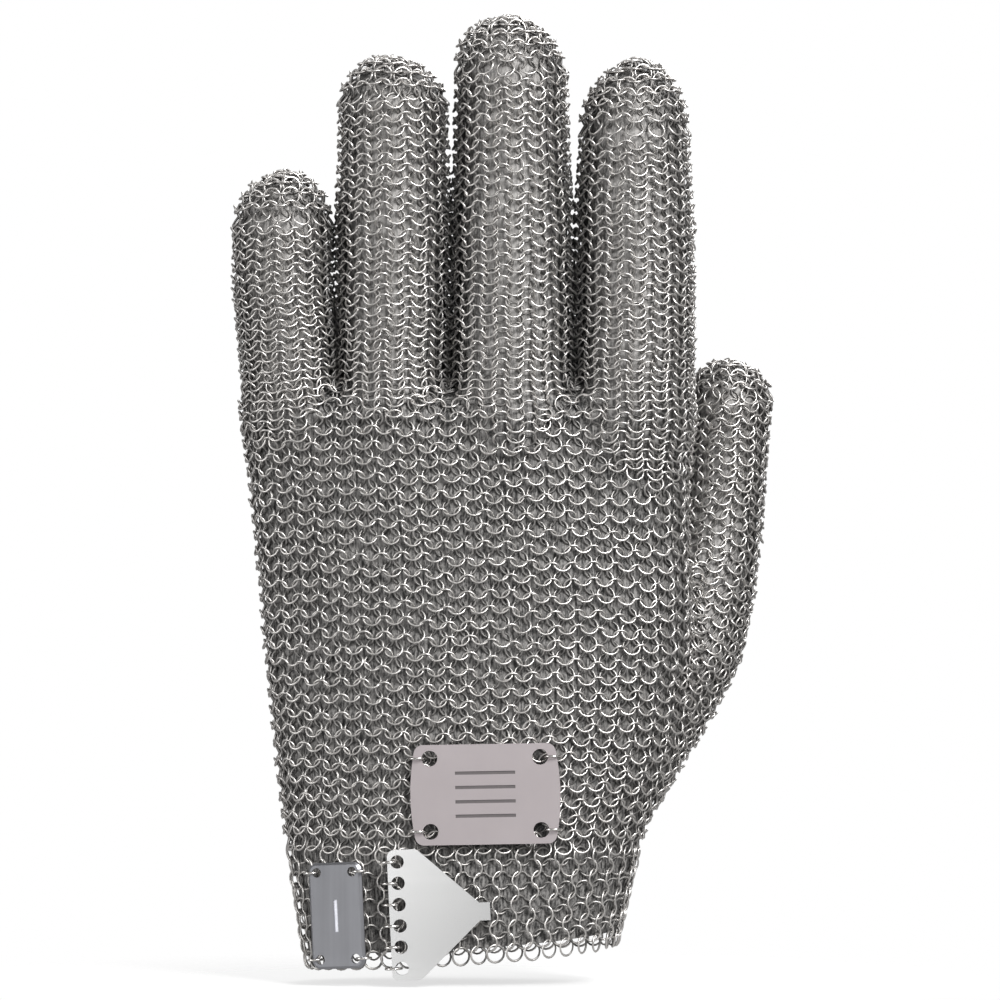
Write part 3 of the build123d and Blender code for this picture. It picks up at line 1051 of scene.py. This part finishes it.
class GLOVE_OT_thumb(bpy.types.Operator):
    """Weave the thumb: its base on the palm and two lengths above it"""

    bl_idname = "glove.thumb"
    bl_label = "Thumb"

    def execute(self, context):
        sizes = context.scene.glove_sizes
        chance = np.random.default_rng(sizes.seed + 20)
        parts = (settle(thumb_weave(sizes), THUMB_PART), thumb_inner_face(), sizes, chance)
        base = joint_places["thumb_base_bend"]
        end = joint_places["thumb_end_bend"]
        first = (base[2] - THUMB_REACH) / MM
        second = (base[2] + end[2]) / 2 / MM
        manner = {"digit_from": THUMB_LIFT_FROM}
        root = weave_piece("thumb_base_weave", *parts, lambda place: place[:, 2] < first, **manner)
        lower = weave_piece(
            "thumb_lower_weave", *parts,
            lambda place: (place[:, 2] >= first) & (place[:, 2] < second), **manner,
        )
        upper = weave_piece("thumb_upper_weave", *parts, lambda place: place[:, 2] >= second, **manner)
        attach(root, "root")
        bend_at(lower)
        bend_at(upper)
        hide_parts("thumb_base_mesh")
        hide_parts("thumb_lower_mesh")
        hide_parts("thumb_upper_mesh")
        return {"FINISHED"}


class GLOVE_OT_cuff(bpy.types.Operator):
    """Weave the cuff, its rings turned upright, down to the slanting hem"""

    bl_idname = "glove.cuff"
    bl_label = "Cuff"

    def execute(self, context):
        sizes = context.scene.glove_sizes
        chance = np.random.default_rng(sizes.seed + 30)
        count = 2 * round(self.perimeter() / sizes.cuff_column * MM / 2)
        weave = Weave()
        top = CUFF_HEIGHT - CUFF_TOP_ROOM
        steps = round((top - HEM_MIDDLE) / (sizes.cuff_pitch / MM / 2))
        for step in range(steps + 1):
            share = step / steps
            centres, along = oval_row(CUFF_HEIGHT / 2, count, ROW_START)
            bottom = self.hem(centres[:, 0])
            centres = self.at_height(centres, bottom + (top - bottom) * share)
            chosen = (np.arange(count) % 2 == step % 2) & ~self.in_slit(centres)
            weave.add_row(centres[chosen], along[chosen], 1 if step % 2 else -1)
        centres, along, sides = weave.arrays()
        centres = centres + chance.normal(0, CUFF_PLACE_NOISE, centres.shape)
        planes = ring_planes(centres, along, sides, sizes.lean, chance, upright=True)
        ring = one_ring(sizes.cuff_ring, sizes.wire)
        piece = make_rings("cuff_weave", ring, centres, planes, self.inner_face())
        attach(piece, "root")
        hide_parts("cuff_mesh")
        return {"FINISHED"}

    def hem(self, across):
        """Height of the hem at each place across: it slopes, and rises towards the thumb side."""
        return HEM_MIDDLE + HEM_SLOPE * across + HEM_RISE * np.maximum(across, 0) ** 2

    def at_height(self, places, height):
        """The same places round the cuff, moved to another height and onto its section there."""
        middle, half_width, half_depth = palm_section(height)
        old_middle, old_width, old_depth = palm_section(places[:, 2])
        x = middle + (places[:, 0] - old_middle) / old_width * half_width
        y = places[:, 1] / old_depth * half_depth
        return np.column_stack([x, y, height])

    def in_slit(self, places):
        """Which places are in the slit behind the clasp."""
        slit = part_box("clasp_plate")[0].x / MM + SLIT_FROM_HINGE
        return (np.abs(places[:, 0] - slit) < SLIT_HALF_WIDTH) & (places[:, 1] < 0)

    def inner_face(self):
        """The cuff's inner face of painted shade, which ends above the lowest rings."""
        rows = []
        for share in np.linspace(0, 1, CUFF_INNER_ROWS):
            row = oval_row(CUFF_HEIGHT / 2, OVAL_AROUND, 0.0)[0]
            bottom = self.hem(row[:, 0]) + HEM_LOOP
            rows.append(self.at_height(row, bottom + (CUFF_HEIGHT - bottom) * share))
        return inner_face(rows, PALM_PART)

    def perimeter(self):
        """Length round the middle of the cuff."""
        centres, along = oval_row(CUFF_HEIGHT / 2, 360, 0.0)
        return np.linalg.norm(centres - np.roll(centres, 1, axis=0), axis=1).sum()


class GLOVE_OT_metalwork(bpy.types.Operator):
    """Give the clasp, plate, tag and their rings their metals"""

    bl_idname = "glove.metalwork"
    bl_label = "Metalwork"

    def execute(self, context):
        colours = context.scene.glove_colours
        wire = bright_wire(colours.mesh)
        metals = {
            "clasp_plate": polished_clasp(colours.clasp),
            "id_plate": satin_plate(colours.plate),
            "size_tag": brushed_tag(colours.tag),
            "clasp_rings": wire,
            "id_plate_rings": wire,
            "size_tag_rings": wire,
        }
        for node, metal in metals.items():
            piece = frame["nodes"][node]
            piece.data.materials.clear()
            piece.data.materials.append(metal)
        engrave(frame["nodes"]["id_plate"], engraved_line("engraved_dark", shade(colours.plate, 0.35)))
        engrave(frame["nodes"]["size_tag"], engraved_line("engraved_bright", shade(colours.tag, 2.6)))
        return {"FINISHED"}


def engrave(piece, material):
    """Give the floors of a plate's grooves, the faces just below its front, their own finish."""
    mesh = piece.data
    mesh.materials.append(material)
    largest = max(mesh.polygons, key=lambda face: -face.normal.y * face.area)
    for face in mesh.polygons:
        depth = (largest.center - face.center).dot(largest.normal)
        parallel = face.normal.dot(largest.normal) > GROOVE_FACING
        if parallel and GROOVE_DEPTHS[0] < depth < GROOVE_DEPTHS[1]:
            face.material_index = 1


class GLOVE_OT_stage(bpy.types.Operator):
    """Set up the floor, the light and the camera"""

    bl_idname = "glove.stage"
    bl_label = "Stage"

    def execute(self, context):
        self.make_floor(context)
        self.make_lights(context)
        self.make_camera(context)
        return {"FINISHED"}

    def make_floor(self, context):
        bpy.ops.object.select_all(action="DESELECT")
        bpy.ops.mesh.primitive_circle_add(
            vertices=96, radius=FLOOR_RADIUS, fill_type="NGON", location=(0, 0, cad_low.z - FLOOR_DROP)
        )
        floor = context.object
        floor.name = "floor"
        floor.data.transform(floor.matrix_world)
        floor.location = (0, 0, 0)
        floor.data.materials.append(floor_paint(context.scene.glove_colours.floor))

    def make_lights(self, context):
        """White surroundings to look at, dimmer ones to light the steel, and four soft lights."""
        world = context.scene.world or bpy.data.worlds.new("studio")
        context.scene.world = world
        world.use_nodes = True
        tree = world.node_tree
        background = tree.nodes["Background"]
        background.inputs["Color"].default_value = (1, 1, 1, 1)
        path = tree.nodes.new("ShaderNodeLightPath")
        strength = tree.nodes.new("ShaderNodeMapRange")
        strength.inputs["To Min"].default_value = ROOM_LIGHT
        strength.inputs["To Max"].default_value = 1.0
        tree.links.new(path.outputs["Is Camera Ray"], strength.inputs["Value"])
        tree.links.new(strength.outputs["Result"], background.inputs["Strength"])
        middle = (cad_low + cad_high) / 2
        for name, place, size, power in LIGHTS:
            add_light(name, place, middle, size, power)

    def make_camera(self, context):
        """A long lens that looks straight at the back of the hand."""
        middle = (cad_low + cad_high) / 2
        data = bpy.data.cameras.new("camera")
        data.lens = LENS
        data.sensor_width = SENSOR
        distance = VIEW_FIELD * MM * data.lens / data.sensor_width
        camera = bpy.data.objects.new("camera", data)
        camera.location = (middle.x + VIEW_SHIFT[0] * MM, -distance, middle.z + VIEW_SHIFT[1] * MM)
        camera.rotation_euler = (math.radians(90), 0, 0)
        context.scene.collection.objects.link(camera)
        context.scene.camera = camera
        context.scene.view_settings.view_transform = "Standard"


def add_light(name, place, target, size, power):
    """A soft square light that looks at the glove."""
    data = bpy.data.lights.new(name, "AREA")
    data.size = size
    data.energy = power
    light = bpy.data.objects.new(name, data)
    light.location = Vector(place) + target
    light.rotation_euler = (target - light.location).to_track_quat("-Z", "Y").to_euler()
    bpy.context.scene.collection.objects.link(light)


class GLOVE_PT_panel(bpy.types.Panel):
    """Shows the glove's sizes and colours, and a button for each step that builds it"""

    bl_idname = "GLOVE_PT_panel"
    bl_label = "Ring Mesh Glove"
    bl_space_type = "VIEW_3D"
    bl_region_type = "UI"
    bl_category = "Glove"

    def draw(self, context):
        for name in GloveSizes.__annotations__:
            self.layout.prop(context.scene.glove_sizes, name)
        for name in GloveColours.__annotations__:
            self.layout.prop(context.scene.glove_colours, name)
        for operator in OPERATORS:
            self.layout.operator(operator.bl_idname)


OPERATORS = (
    GLOVE_OT_palm,
    GLOVE_OT_fingers,
    GLOVE_OT_thumb,
    GLOVE_OT_cuff,
    GLOVE_OT_metalwork,
    GLOVE_OT_stage,
)
CLASSES = (GloveSizes, GloveColours, *OPERATORS, GLOVE_PT_panel)


def register():
    """Add the classes and the scene's settings."""
    for item in CLASSES:
        bpy.utils.register_class(item)
    bpy.types.Scene.glove_sizes = bpy.props.PointerProperty(type=GloveSizes)
    bpy.types.Scene.glove_colours = bpy.props.PointerProperty(type=GloveColours)


def unregister():
    """Take the classes and settings away again."""
    del bpy.types.Scene.glove_colours
    del bpy.types.Scene.glove_sizes
    for item in reversed(CLASSES):
        bpy.utils.unregister_class(item)


def main():
    """Build the glove."""
    register()
    bpy.ops.glove.palm()
    bpy.ops.glove.fingers()
    bpy.ops.glove.thumb()
    bpy.ops.glove.cuff()
    bpy.ops.glove.metalwork()
    bpy.ops.glove.stage()
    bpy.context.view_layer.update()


if __name__ == "__main__":
    main()
